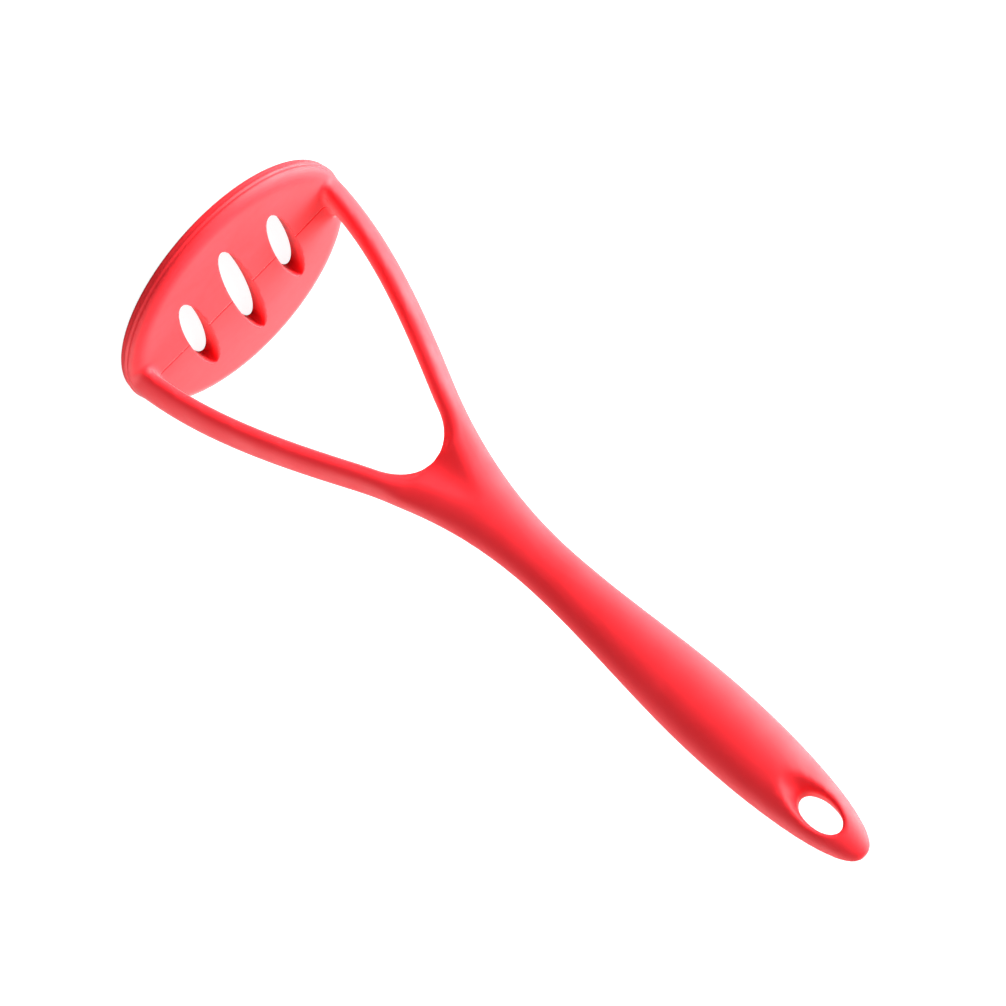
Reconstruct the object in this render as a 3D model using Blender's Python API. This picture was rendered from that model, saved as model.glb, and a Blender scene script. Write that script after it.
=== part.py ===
"""One-piece potato masher: a soft silicone skin moulded over a stiff nylon frame.

Metres, +Z up along the handle, X across the two arms of the fork, Y along the plate's slots.
The underside of the plate lies on Z = 0 and its middle on the origin.
"""

import math

import bmesh
import bpy
from mathutils import Vector

# Overall
OVERALL_HEIGHT = 0.270

# Mashing plate, an oval
PLATE_WIDTH = 0.0909
PLATE_DEPTH = 0.1094
PLATE_EDGE_HEIGHT = 0.0060
PLATE_DOME = 0.0004
SHOULDER_REACH = 0.0055
SHOULDER_DROP = 0.0028
UNDERSIDE_RADIUS = 0.0015
RIM_RIDGE = 0.0003
RIM_RIDGE_HEIGHT = 0.0023

# Slots in the plate, their long axis along Y
SLOT_PITCH = 0.0191
SIDE_SLOT_WIDTH = 0.0083
SIDE_SLOT_LENGTH = 0.0560
MIDDLE_SLOT_WIDTH = 0.0086
MIDDLE_SLOT_LENGTH = 0.0720
SLOT_EDGE_RADIUS = 0.0008

# Arms of the fork, leaning in as they rise
ARM_THICKNESS = 0.0076
ARM_FOOT_DEPTH = 0.0250
ARM_TOP_DEPTH = 0.0158
ARM_FOOT_INSET = 0.0004
ARM_FOOT_LEAN = -0.09
ARM_FILLET = 0.0018
BEND_HEIGHT = 0.0750
BEND_WIDTH = 0.0461
BEND_LEAN = -0.455

# Fork, where the arms meet in a web with a groove on both faces
CROTCH_HEIGHT = 0.0897
CROTCH_RISE = 0.0110
CROTCH_ROUNDING = 0.0064
FORK_SAG = 0.0028
FORK_DEPTH = 0.0170
FORK_FULLNESS = 0.45
WEB_THICKNESS = 0.0064
GROOVE_WIDTH = 0.0200
GROOVE_TIP_WIDTH = 0.0040
GROOVE_RISE = 0.0190
GROOVE_FADE_POWER = 1.5

# Handle
WAIST_HEIGHT = 0.1390
WAIST_WIDTH = 0.0173
WAIST_DEPTH = 0.0144
GRIP_WIDTH = 0.0250
GRIP_DEPTH = 0.0206
GRIP_DROP = 0.0590
END_POWER = 0.42

# Hole for hanging it up, through the handle's end along Y
HANG_HOLE_WIDTH = 0.0093
HANG_HOLE_LENGTH = 0.0168
HANG_HOLE_DROP = 0.0182
HANG_HOLE_THROAT = 0.0036
HANG_HOLE_MOUTH = 0.0082
HANG_HOLE_SPREAD = 0.0030
HANG_HOLE_POINT = 0.0052
HANG_HOLE_TAPER = 0.12
HANG_HOLE_SPREAD_POWER = 2.0
HANG_HOLE_POINT_POWER = 1.4

# Skin and frame
SKIN_THICKNESS = 0.0016
FIT_GAP = 0.0003
FOOT_JOIN = 0.0010
HANG_HOLE_LINING = 0.0009
PIN_OPENING_DIAMETER = 0.0040
PIN_OPENING_X = 0.0300
PIN_OPENING_Y = 0.0220

# How finely the round shapes are divided: points round a plate and a slot, steps from the outer
# side of the stem to its middle and across an arm's inner side, and rings along each stretch
SKIN_DETAIL = {"plate": 76, "slot": 28, "sides": 8, "ends": 3, "arm": 11, "arch": 7, "handle": 24, "tip": 12}
FRAME_DETAIL = {"plate": 50, "slot": 22, "sides": 5, "ends": 2, "arm": 8, "arch": 5, "handle": 16, "tip": 8}
PIN_POINTS = 16
CUTTER_OVERSHOOT = 0.0040
SMALLEST_RING = 0.0008


def clear_scene():
    for item in list(bpy.data.objects):
        bpy.data.objects.remove(item, do_unlink=True)


def linear_colour(hex_text):
    """Linear RGBA of an sRGB hex colour."""
    channels = [int(hex_text[i : i + 2], 16) / 255 for i in (1, 3, 5)]
    linear = [c / 12.92 if c <= 0.04045 else ((c + 0.055) / 1.055) ** 2.4 for c in channels]
    return (*linear, 1.0)


def make_material(name, hex_text, roughness):
    material = bpy.data.materials.new(name)
    material.use_nodes = True
    shader = material.node_tree.nodes["Principled BSDF"]
    shader.inputs["Base Color"].default_value = linear_colour(hex_text)
    shader.inputs["Roughness"].default_value = roughness
    shader.inputs["Metallic"].default_value = 0.0
    return material


def cubic(start, end, start_slope, end_slope, span, share):
    """Value at a share of the span, on the cubic with the given end values and end slopes."""
    rest = 1.0 - share
    return (
        start * rest * rest * (1.0 + 2.0 * share)
        + end * share * share * (3.0 - 2.0 * share)
        + start_slope * span * share * rest * rest
        - end_slope * span * share * share * rest
    )


def oval_ring(centre, across, along, points):
    """Points of an ellipse round a centre, given its two half-axes as vectors."""
    angles = [math.tau * i / points for i in range(points)]
    return [centre + across * math.cos(a) + along * math.sin(a) for a in angles]


def add_band(mesh, lower, upper):
    """Quads between two rings of vertices of the same length."""
    for i in range(len(lower)):
        j = (i + 1) % len(lower)
        mesh.faces.new((lower[i], lower[j], upper[j], upper[i]))


def finish_solid(name, mesh):
    """Object in the scene from a closed bmesh, shaded smooth."""
    bmesh.ops.recalc_face_normals(mesh, faces=mesh.faces)
    data = bpy.data.meshes.new(name)
    mesh.to_mesh(data)
    mesh.free()
    data.polygons.foreach_set("use_smooth", [True] * len(data.polygons))
    item = bpy.data.objects.new(name, data)
    bpy.context.scene.collection.objects.link(item)
    return item


def loft(name, rings):
    """Closed solid through a stack of flat rings with the same number of points."""
    mesh = bmesh.new()
    stack = [[mesh.verts.new(point) for point in ring] for ring in rings]
    for lower, upper in zip(stack, stack[1:]):
        add_band(mesh, lower, upper)
    mesh.faces.new(stack[0])
    mesh.faces.new(stack[-1])
    return finish_solid(name, mesh)


def combine(base, other, operation):
    """Adds another solid to the base, or cuts it away, and keeps it as a hidden helper."""
    other.hide_render = True
    other.display_type = "WIRE"
    other.parent = base
    modifier = base.modifiers.new(other.name, "BOOLEAN")
    modifier.operation = operation
    modifier.solver = "EXACT"
    modifier.object = other


def frame_plate_setback():
    """How far in the frame's plate stops beyond its inset: under the shoulder, and under each arm's foot."""
    under_shoulder = RIM_RIDGE + SHOULDER_REACH / 2
    under_foot = ARM_FOOT_INSET + ARM_THICKNESS - 2 * (SKIN_THICKNESS + FIT_GAP) - FOOT_JOIN
    return min(under_shoulder, under_foot)


def plate_profile(inset):
    """Edge of the plate as (distance in from the outline, height), from the underside to the top."""
    if inset > 0.0:
        side = inset + frame_plate_setback()
        return [(side, inset), (side, PLATE_EDGE_HEIGHT - inset)]
    quarter = [math.radians(90 * step / 5) for step in range(6)]
    underside = [
        (RIM_RIDGE + UNDERSIDE_RADIUS * (1.0 - math.sin(a)), UNDERSIDE_RADIUS * (1.0 - math.cos(a)))
        for a in quarter[::2] + quarter[-1:]
    ]
    ridge = [
        (RIM_RIDGE, RIM_RIDGE_HEIGHT - RIM_RIDGE),
        (0.0, RIM_RIDGE_HEIGHT),
        (RIM_RIDGE, RIM_RIDGE_HEIGHT + RIM_RIDGE),
    ]
    shoulder = [
        (RIM_RIDGE + SHOULDER_REACH * (1.0 - math.cos(a)), PLATE_EDGE_HEIGHT - SHOULDER_DROP * (1.0 - math.sin(a)))
        for a in quarter
    ]
    return underside + ridge + shoulder


def make_plate(name, inset, points):
    """Oval plate with a rounded rim and a slightly domed top, made smaller all round by an inset."""
    profile = plate_profile(inset)
    edge, top = profile[-1]
    for share in (0.75, 0.45):
        distance = PLATE_WIDTH / 2 - share * (PLATE_WIDTH / 2 - edge)
        profile.append((distance, top + PLATE_DOME * (1.0 - share**2)))
    rings = []
    for distance, height in profile:
        across = Vector((PLATE_WIDTH / 2 - distance, 0.0, 0.0))
        along = Vector((0.0, PLATE_DEPTH / 2 - distance, 0.0))
        rings.append(oval_ring(Vector((0.0, 0.0, height)), across, along, points))
    return loft(name, rings)


def fork_height():
    """Height on the outer side at which the arms' surfaces join."""
    return CROTCH_HEIGHT + FORK_SAG


def grip_height():
    """Height at which the handle is widest."""
    return OVERALL_HEIGHT - GRIP_DROP


def end_share(height):
    """Size of the handle's rounded end at a height, as a share of its size at the grip."""
    return max(0.0, 1.0 - ((height - grip_height()) / GRIP_DROP) ** 2) ** END_POWER


def half_width_at(height):
    """Half width of the fork and handle at a height on their outer side."""
    if height <= BEND_HEIGHT:
        span = BEND_HEIGHT - PLATE_EDGE_HEIGHT
        share = (height - PLATE_EDGE_HEIGHT) / span
        foot = PLATE_WIDTH / 2 - ARM_FOOT_INSET
        return cubic(foot, BEND_WIDTH / 2, ARM_FOOT_LEAN, BEND_LEAN, span, share)
    if height <= WAIST_HEIGHT:
        span = WAIST_HEIGHT - BEND_HEIGHT
        share = (height - BEND_HEIGHT) / span
        return cubic(BEND_WIDTH / 2, WAIST_WIDTH / 2, BEND_LEAN, 0.0, span, share)
    if height <= grip_height():
        span = grip_height() - WAIST_HEIGHT
        return cubic(WAIST_WIDTH / 2, GRIP_WIDTH / 2, 0.0, 0.0, span, (height - WAIST_HEIGHT) / span)
    return GRIP_WIDTH / 2 * end_share(height)


def half_depth_at(height):
    """Half depth along Y of an arm below the fork, and of the handle above it."""
    if height <= fork_height():
        share = (height - PLATE_EDGE_HEIGHT) / (fork_height() - PLATE_EDGE_HEIGHT)
        return (ARM_TOP_DEPTH + (ARM_FOOT_DEPTH - ARM_TOP_DEPTH) * min(1.0, 1.0 - share) ** 2) / 2
    if height <= WAIST_HEIGHT:
        span = WAIST_HEIGHT - fork_height()
        return cubic(FORK_DEPTH / 2, WAIST_DEPTH / 2, 0.0, 0.0, span, (height - fork_height()) / span)
    if height <= grip_height():
        span = grip_height() - WAIST_HEIGHT
        return cubic(WAIST_DEPTH / 2, GRIP_DEPTH / 2, 0.0, 0.0, span, (height - WAIST_HEIGHT) / span)
    return GRIP_DEPTH / 2 * end_share(height)


def arm_crossing(height):
    """Outer point of an arm at a height, and the point straight across it on the inner side."""
    step = 0.00001
    slope = (half_width_at(height + step) - half_width_at(height - step)) / (2 * step)
    outer = Vector((half_width_at(height), 0.0, height))
    return outer, outer + Vector((-1.0, 0.0, slope)).normalized() * ARM_THICKNESS


def arch_start():
    """Height on the outline from which the arm's inner side rounds into the crotch."""
    height = fork_height()
    while arm_crossing(height)[1].z > CROTCH_HEIGHT - CROTCH_RISE:
        height -= 0.0001
    return height


def arch_point(start, share):
    """Point on the curve from an arm's inner side to the top of the crotch."""
    outer, inner = arm_crossing(start)
    upward = Vector((inner.z - outer.z, 0.0, outer.x - inner.x)).normalized()
    corners = (
        inner,
        inner + upward * CROTCH_ROUNDING,
        Vector((CROTCH_ROUNDING, 0.0, CROTCH_HEIGHT)),
        Vector((0.0, 0.0, CROTCH_HEIGHT)),
    )
    rest = 1.0 - share
    weights = (rest**3, 3 * rest**2 * share, 3 * rest * share**2, share**3)
    return sum((corner * weight for corner, weight in zip(corners, weights)), Vector())


def foot_flare(height):
    """How far the fillet at an arm's foot spreads onto the plate at a height."""
    rise = max(0.0, min(ARM_FILLET, height - PLATE_EDGE_HEIGHT))
    return ARM_FILLET - math.sqrt(ARM_FILLET**2 - (ARM_FILLET - rise) ** 2)


def grooved_depth(half_depth, side, x, rise):
    """Half depth of the handle at x, less the groove that runs up each face from the crotch."""
    left = max(0.0, 1.0 - rise / GROOVE_RISE)
    reach = GROOVE_TIP_WIDTH / 2 + (GROOVE_WIDTH - GROOVE_TIP_WIDTH) / 2 * left
    floor = (1.0 - WEB_THICKNESS / FORK_DEPTH) * left**GROOVE_FADE_POWER
    across = max(0.0, 1.0 - (x / reach) ** 2) ** 2
    return half_depth * side ** (1.0 - FORK_FULLNESS * left) * (1.0 - floor * across)


def arm_ring(outer, inner, merge, inset, detail):
    """Ring of the right arm: an oval that turns, by a share, into half of the fork's grooved section."""
    half_width, half_depth = half_width_at(outer.z), half_depth_at(outer.z)
    inward = (inner - outer).normalized() * inset
    start = outer + inward
    end = inner - inward if merge < 1.0 else inner + Vector((0.0, 0.0, inset))
    flare = foot_flare(outer.z) if inset == 0.0 else 0.0
    ring = []
    for i in range(detail["sides"] + detail["ends"] + 1):
        if i <= detail["sides"]:
            turn = math.radians(135 * i / detail["sides"])
            quarter = math.radians(90 * i / detail["sides"])
            across = 1.0 - math.cos(quarter)
            side = math.sin(quarter)
            depth = grooved_depth(FORK_DEPTH / 2, side, half_width * math.cos(quarter), 0.0) - inset * side
        else:
            step = (i - detail["sides"]) / detail["ends"]
            turn = math.radians(135 + 45 * step)
            across = 1.0
            depth = (WEB_THICKNESS / 2 - inset) * math.cos(math.radians(90 * step))
        across += ((1.0 - math.cos(turn)) / 2 - across) * (1.0 - merge)
        depth += ((half_depth + flare - inset) * math.sin(turn) - depth) * (1.0 - merge)
        point = start.lerp(end, across) + Vector((-flare * across, depth, 0.0))
        point.x -= (1.0 - merge) * PLATE_WIDTH / 2 * (1.0 - math.sqrt(1.0 - (2 * depth / PLATE_DEPTH) ** 2))
        ring.append(point)
    return ring + [Vector((p.x, -p.y, p.z)) for p in ring[-2:0:-1]]


def arm_rings(inset, detail):
    """Rings of the right arm, from inside the plate to the crotch of the fork."""
    rings = []
    bottom = RIM_RIDGE_HEIGHT + RIM_RIDGE if inset == 0.0 else inset + SMALLEST_RING
    start = arch_start()
    heights = [bottom]
    if inset == 0.0:
        heights += [PLATE_EDGE_HEIGHT + PLATE_DOME / 2 + ARM_FILLET * share for share in (-0.1, 0.15, 0.5, 1.0)]
    above = PLATE_EDGE_HEIGHT + 2 * ARM_FILLET
    heights += [above + (start - above) * i / detail["arm"] for i in range(detail["arm"])]
    for height in heights:
        outer, inner = arm_crossing(height)
        if height < above:
            inner.z = height
        rings.append(arm_ring(outer, inner, 0.0, inset, detail))
    for i in range(detail["arch"] + 1):
        share = i / detail["arch"]
        height = start + (fork_height() - start) * share
        outer = Vector((half_width_at(height), 0.0, height))
        merge = cubic(0.0, 1.0, 0.0, 0.0, 1.0, share)
        rings.append(arm_ring(outer, arch_point(start, share), merge, inset, detail))
    return rings


def handle_ring(height, inset, detail):
    """Right half of the handle's ring at a height, from the middle of the back round to the front."""
    half_width, half_depth = half_width_at(height), half_depth_at(height)
    rise = height - fork_height()
    sag = (FORK_SAG - inset) * max(0.0, 1.0 - rise / GROOVE_RISE)
    half = []
    for i in range(detail["sides"] + 1):
        quarter = math.radians(90 * i / detail["sides"])
        side, across = math.sin(quarter), math.cos(quarter)
        depth = grooved_depth(half_depth, side, half_width * across, rise) - inset * side
        half.append(Vector(((half_width - inset) * across, depth, height - sag * (1.0 - across))))
    return half


def handle_heights(inset, detail):
    """Heights of the handle's rings above the crotch, closer together near the rounded end."""
    span = grip_height() - fork_height()
    straight = [fork_height() + span * i / detail["handle"] for i in range(1, detail["handle"])]
    angles = [math.radians(90 * i / detail["tip"]) for i in range(detail["tip"])]
    rounded = [grip_height() + (GRIP_DROP - inset) * math.sin(a) for a in angles]
    return straight + [height for height in rounded if half_depth_at(height) - inset > SMALLEST_RING]


def mirror_x(points):
    return [Vector((-p.x, p.y, p.z)) for p in points]


def make_stem(name, inset, detail):
    """Both arms, the fork and the handle as one closed surface, made smaller all round by an inset."""
    mesh = bmesh.new()
    sides, ends = detail["sides"], detail["ends"]
    right_rings = arm_rings(inset, detail)
    saddle = []
    outer_loops = []
    for mirrored in (False, True):
        rings = [mirror_x(ring) for ring in right_rings] if mirrored else right_rings
        stack = [[mesh.verts.new(point) for point in ring] for ring in rings[:-1]]
        top = [mesh.verts.new(point) for point in rings[-1]]
        if mirrored:
            for offset, vertex in enumerate(saddle):
                mesh.verts.remove(top[sides + offset])
                top[sides + offset] = vertex
        else:
            saddle = top[sides : sides + 2 * ends + 1]
        for lower, upper in zip(stack, stack[1:] + [top]):
            add_band(mesh, lower, upper)
        mesh.faces.new(stack[0])
        outer_loops.append(top)
    right, left = outer_loops
    tail = sides + 2 * ends
    below = right[: sides + 1] + left[sides - 1 : 0 : -1] + left[:1] + left[:tail:-1] + right[tail:]
    for height in handle_heights(inset, detail):
        half = handle_ring(height, inset, detail)
        back = half + mirror_x(half[-2::-1])
        front = [Vector((p.x, -p.y, p.z)) for p in back[-2:0:-1]]
        above = [mesh.verts.new(point) for point in back + front]
        add_band(mesh, below, above)
        below = above
    tip = mesh.verts.new((0.0, 0.0, OVERALL_HEIGHT - inset))
    for i in range(len(below)):
        mesh.faces.new((below[i], below[(i + 1) % len(below)], tip))
    return finish_solid(name, mesh)


def make_slot_cutter(name, x, width, length, inset, points):
    """Oval cutter for one slot; without an inset its mouths widen to round the slot's edges."""
    top = PLATE_EDGE_HEIGHT + PLATE_DOME
    edge = SLOT_EDGE_RADIUS
    stations = [(-CUTTER_OVERSHOOT, inset), (top + CUTTER_OVERSHOOT, inset)]
    if inset == 0.0:
        stations = [
            (-CUTTER_OVERSHOOT, edge),
            (edge / 2, 0.0),
            (top - edge, 0.0),
            (top - edge * 0.3, edge * 0.3),
            (top + edge * 0.2, edge * 1.1),
            (top + CUTTER_OVERSHOOT, edge * 4),
        ]
    rings = []
    for height, grow in stations:
        across = Vector((width / 2 + grow, 0.0, 0.0))
        along = Vector((0.0, length / 2 + grow, 0.0))
        rings.append(oval_ring(Vector((x, 0.0, height)), across, along, points))
    return loft(name, rings)


def hang_hole_ring(y, inset, points):
    """Outline of the hanging hole at y: an oval that spreads and grows a point below towards the surface."""
    middle = OVERALL_HEIGHT - HANG_HOLE_DROP
    opened = max(0.0, (abs(y) + inset - HANG_HOLE_THROAT) / (HANG_HOLE_MOUTH - HANG_HOLE_THROAT))
    spread = HANG_HOLE_SPREAD * opened**HANG_HOLE_SPREAD_POWER
    ring = []
    for i in range(points):
        turn = math.tau * i / points
        x = (HANG_HOLE_WIDTH / 2 + inset + spread) * math.cos(turn)
        rise = math.sin(turn)
        if rise >= 0.0:
            z = (HANG_HOLE_LENGTH / 2 + inset + spread) * rise
        else:
            point = HANG_HOLE_POINT * opened**HANG_HOLE_POINT_POWER
            z = (HANG_HOLE_LENGTH / 2 + inset) * rise - point * rise**2
            x *= 1.0 - HANG_HOLE_TAPER * min(1.0, opened) * rise**2
        ring.append(Vector((x, y, middle + z)))
    return ring


def make_hang_hole_cutter(name, inset, points):
    """Cutter along Y for the hanging hole, dished on both faces."""
    outermost = GRIP_DEPTH / 2 + CUTTER_OVERSHOOT / 4
    half = [outermost * share for share in (0.25, 0.4, 0.5, 0.6, 0.7, 0.8, 0.9, 1.0)]
    stations = [-y for y in reversed(half)] + [0.0] + half
    return loft(name, [hang_hole_ring(y, inset, points) for y in stations])


def make_body(name, inset, detail):
    """The masher's whole form as one solid, made smaller all round by an inset."""
    body = make_plate(name, inset, detail["plate"])
    combine(body, make_stem(f"{name}_stem", inset, detail), "UNION")
    slots = (
        ("left", -SLOT_PITCH, SIDE_SLOT_WIDTH, SIDE_SLOT_LENGTH),
        ("middle", 0.0, MIDDLE_SLOT_WIDTH, MIDDLE_SLOT_LENGTH),
        ("right", SLOT_PITCH, SIDE_SLOT_WIDTH, SIDE_SLOT_LENGTH),
    )
    for label, x, width, length in slots:
        cutter = make_slot_cutter(f"{name}_{label}_slot", x, width, length, inset, detail["slot"])
        combine(body, cutter, "DIFFERENCE")
    lining = inset - SKIN_THICKNESS + HANG_HOLE_LINING if inset > 0.0 else 0.0
    combine(body, make_hang_hole_cutter(f"{name}_hang_hole", lining, detail["slot"]), "DIFFERENCE")
    return body


def make_pin_opening(name, x, y):
    """Round cutter from below the plate into the space that the frame fills."""
    across = Vector((PIN_OPENING_DIAMETER / 2, 0.0, 0.0))
    along = Vector((0.0, PIN_OPENING_DIAMETER / 2, 0.0))
    heights = (-CUTTER_OVERSHOOT, SKIN_THICKNESS + FIT_GAP / 2)
    return loft(name, [oval_ring(Vector((x, y, height)), across, along, PIN_POINTS) for height in heights])


def make_silicone_skin():
    """Soft outer moulding, hollow for the frame and open to it where the mould's pins held the frame."""
    skin = make_body("silicone_skin", 0.0, SKIN_DETAIL)
    combine(skin, make_body("frame_space", SKIN_THICKNESS, FRAME_DETAIL), "DIFFERENCE")
    corners = [(x, y) for x in (-PIN_OPENING_X, PIN_OPENING_X) for y in (-PIN_OPENING_Y, PIN_OPENING_Y)]
    for number, (x, y) in enumerate(corners, start=1):
        combine(skin, make_pin_opening(f"pin_opening_{number}", x, y), "DIFFERENCE")
    skin.data.materials.append(make_material("red silicone", "#F2343F", 0.45))


def make_nylon_frame():
    """Stiff inner frame: plate insert, both arms and the handle's spine in one moulding."""
    frame = make_body("nylon_frame", SKIN_THICKNESS + FIT_GAP, FRAME_DETAIL)
    frame.data.materials.append(make_material("glass-filled nylon", "#2E2F31", 0.6))


def main():
    clear_scene()
    make_silicone_skin()
    make_nylon_frame()


main()
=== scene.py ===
"""Looks of a silicone-covered potato masher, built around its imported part.

Metres, +Z up along the handle, X across the two arms of the fork, Y along the plate's slots.
The skin is rebuilt as one fine, softly rounded moulding with its parting lines; the nylon frame
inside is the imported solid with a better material.
"""

import logging
import math
from dataclasses import dataclass, field
from enum import Enum
from typing import Any, Callable, Iterable, Sequence
import bmesh
import bpy
import numpy as np
from mathutils import Matrix, Vector


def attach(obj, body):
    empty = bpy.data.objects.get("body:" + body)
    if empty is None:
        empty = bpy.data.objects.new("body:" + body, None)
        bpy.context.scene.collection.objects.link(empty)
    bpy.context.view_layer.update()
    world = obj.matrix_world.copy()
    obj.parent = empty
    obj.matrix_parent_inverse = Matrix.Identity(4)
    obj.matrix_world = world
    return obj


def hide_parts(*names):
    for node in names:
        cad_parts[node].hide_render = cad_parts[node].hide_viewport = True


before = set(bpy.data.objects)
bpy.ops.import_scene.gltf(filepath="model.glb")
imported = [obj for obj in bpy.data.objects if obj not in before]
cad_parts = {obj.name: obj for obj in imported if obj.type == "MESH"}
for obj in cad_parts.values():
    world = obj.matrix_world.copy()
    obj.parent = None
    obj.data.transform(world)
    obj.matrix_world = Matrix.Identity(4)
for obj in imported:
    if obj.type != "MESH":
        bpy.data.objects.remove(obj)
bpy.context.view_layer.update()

LOG = logging.getLogger("masher")
MM = 0.001
TINY = 1e-9
SMOOTHING_FACTOR = 0.5
# The sRGB curve is a straight line near black and a power above it.
SRGB_LINE_END, SRGB_LINE_SLOPE = 0.04045, 12.92
SRGB_OFFSET, SRGB_POWER = 0.055, 2.4
Ring = list[Vector]
Solid = bpy.types.Object
Socket = bpy.types.NodeSocket


class Cut(Enum):
    """How one solid is combined with another."""

    JOIN = "UNION"
    REMOVE = "DIFFERENCE"


# ---- small helpers


def linear_colour(hex_text: str) -> tuple[float, float, float, float]:
    """Turns an sRGB hex colour into linear RGBA.

    Args:
        hex_text: The colour as "#RRGGBB".

    Returns:
        Linear red, green and blue, and an alpha of 1.
    """
    linear = []
    for start in (1, 3, 5):
        channel = int(hex_text[start : start + 2], 16) / 255
        if channel <= SRGB_LINE_END:
            linear.append(channel / SRGB_LINE_SLOPE)
        else:
            linear.append(((channel + SRGB_OFFSET) / (1.0 + SRGB_OFFSET)) ** SRGB_POWER)
    return (linear[0], linear[1], linear[2], 1.0)


def add_node(
    tree: bpy.types.NodeTree,
    kind: str,
    settings: dict[str, Any] | None = None,
    links: dict[str, Socket] | None = None,
) -> bpy.types.Node:
    """Adds a node with its settings and links.

    Args:
        tree: The node tree it goes into.
        kind: The node's type name.
        settings: Values by the name of a node property or, failing that, of an input socket.
        links: Output sockets by the name of the input socket each one feeds.

    Returns:
        The new node.
    """
    node = tree.nodes.new(kind)
    for name, value in (settings or {}).items():
        if hasattr(node, name):
            setattr(node, name, value)
        else:
            node.inputs[name].default_value = value
    for name, source in (links or {}).items():
        tree.links.new(source, node.inputs[name])
    return node


def follow(stations: Sequence[tuple[float, float, float]], height: float) -> float:
    """Reads the smooth curve through a row of stations.

    Args:
        stations: Height, value and slope at each station, from the lowest up.
        height: Where to read the curve.

    Returns:
        The value there.
    """
    for (low, start, start_slope), (high, end, end_slope) in zip(stations, stations[1:]):
        if height <= high:
            break
    span = high - low
    share = (height - low) / span
    rest = 1.0 - share
    return (
        start * rest * rest * (1.0 + 2.0 * share)
        + end * share * share * (3.0 - 2.0 * share)
        + start_slope * span * share * rest * rest
        - end_slope * span * share * share * rest
    )


def quarter_turn(steps: int) -> list[float]:
    """Divides a right angle into even steps.

    Args:
        steps: How many steps.

    Returns:
        The angles in radians, from 0 to the right angle.
    """
    return [math.radians(90 * i / steps) for i in range(steps + 1)]


def oval(centre: Vector, half_width: float, half_depth: float, points: int) -> Ring:
    """Lays points round a level ellipse.

    Args:
        centre: Its middle.
        half_width: Half its size along X.
        half_depth: Half its size along Y.
        points: How many points.

    Returns:
        The points in order.
    """
    across, along = Vector((half_width, 0.0, 0.0)), Vector((0.0, half_depth, 0.0))
    turns = [math.tau * i / points for i in range(points)]
    return [centre + across * math.cos(turn) + along * math.sin(turn) for turn in turns]


def bell(distance: np.ndarray, width: float) -> np.ndarray:
    """Gives a smooth hump, 1 at no distance and fading over a width."""
    return np.exp(-((distance / width) ** 2))


def fade(value: np.ndarray, low: float, high: float) -> np.ndarray:
    """Goes smoothly from 0 at the low end to 1 at the high end."""
    share = np.clip((value - low) / (high - low), 0.0, 1.0)
    return share * share * (3.0 - 2.0 * share)


def add_band(mesh: bmesh.types.BMesh, lower: Sequence[Any], upper: Sequence[Any]) -> None:
    """Puts quads between two rings of vertices.

    Args:
        mesh: The mesh that holds both rings.
        lower: One ring of vertices.
        upper: The next ring, with as many vertices.
    """
    for i in range(len(lower)):
        j = (i + 1) % len(lower)
        mesh.faces.new((lower[i], lower[j], upper[j], upper[i]))


def solid_from(name: str, mesh: bmesh.types.BMesh) -> Solid:
    """Turns a closed bmesh into an object in the scene.

    Args:
        name: Name for the object and its mesh.
        mesh: The closed mesh, which is freed.

    Returns:
        The new object.
    """
    bmesh.ops.recalc_face_normals(mesh, faces=mesh.faces)
    data = bpy.data.meshes.new(name)
    mesh.to_mesh(data)
    mesh.free()
    item = bpy.data.objects.new(name, data)
    bpy.context.scene.collection.objects.link(item)
    return item


def loft(name: str, rings: Iterable[Ring]) -> Solid:
    """Makes a closed solid through a stack of flat rings.

    Args:
        name: Name for the object.
        rings: The rings in order, each with the same number of points.

    Returns:
        The new object.
    """
    mesh = bmesh.new()
    stack = [[mesh.verts.new(point) for point in ring] for ring in rings]
    for lower, upper in zip(stack, stack[1:]):
        add_band(mesh, lower, upper)
    mesh.faces.new(stack[0])
    mesh.faces.new(stack[-1])
    return solid_from(name, mesh)


def apply_modifiers(item: Solid) -> None:
    """Bakes an object's modifiers into its mesh."""
    bpy.context.view_layer.update()
    graph = bpy.context.evaluated_depsgraph_get()
    made = bpy.data.meshes.new_from_object(item.evaluated_get(graph))
    item.modifiers.clear()
    item.data = made


def combine(base: Solid, others: Iterable[Solid], way: Cut) -> None:
    """Adds solids to a base or cuts them from it, then removes them.

    Args:
        base: The solid that is changed.
        others: The solids to add or cut away.
        way: Whether to add or to cut.
    """
    others = list(others)
    for other in others:
        modifier = base.modifiers.new(other.name, "BOOLEAN")
        modifier.operation = way.value
        modifier.solver = "EXACT"
        modifier.object = other
    apply_modifiers(base)
    for other in others:
        bpy.data.objects.remove(other, do_unlink=True)


def add_softening(item: Solid, rounds: int, group: str = "") -> None:
    """Adds a modifier that smooths an object's mesh.

    Args:
        item: The object.
        rounds: How many times the smoothing runs.
        group: Vertex group that it is kept to, or nothing for the whole mesh.
    """
    modifier = item.modifiers.new("soften", "SMOOTH")
    modifier.factor = SMOOTHING_FACTOR
    modifier.iterations = rounds
    modifier.vertex_group = group


def refine(item: Solid, near: Callable[[np.ndarray], np.ndarray], cuts: int) -> None:
    """Divides the faces of a region more finely.

    Args:
        item: The object, whose mesh is changed.
        near: Says for rows of points which of them are in the region.
        cuts: How many times each edge in the region is cut.
    """
    chosen = near(vertex_places(item.data))
    mesh = bmesh.new()
    mesh.from_mesh(item.data)
    mesh.verts.ensure_lookup_table()
    edges = [edge for edge in mesh.edges if all(chosen[vertex.index] for vertex in edge.verts)]
    bmesh.ops.subdivide_edges(mesh, edges=edges, cuts=cuts, use_grid_fill=True)
    mesh.to_mesh(item.data)
    mesh.free()


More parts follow.
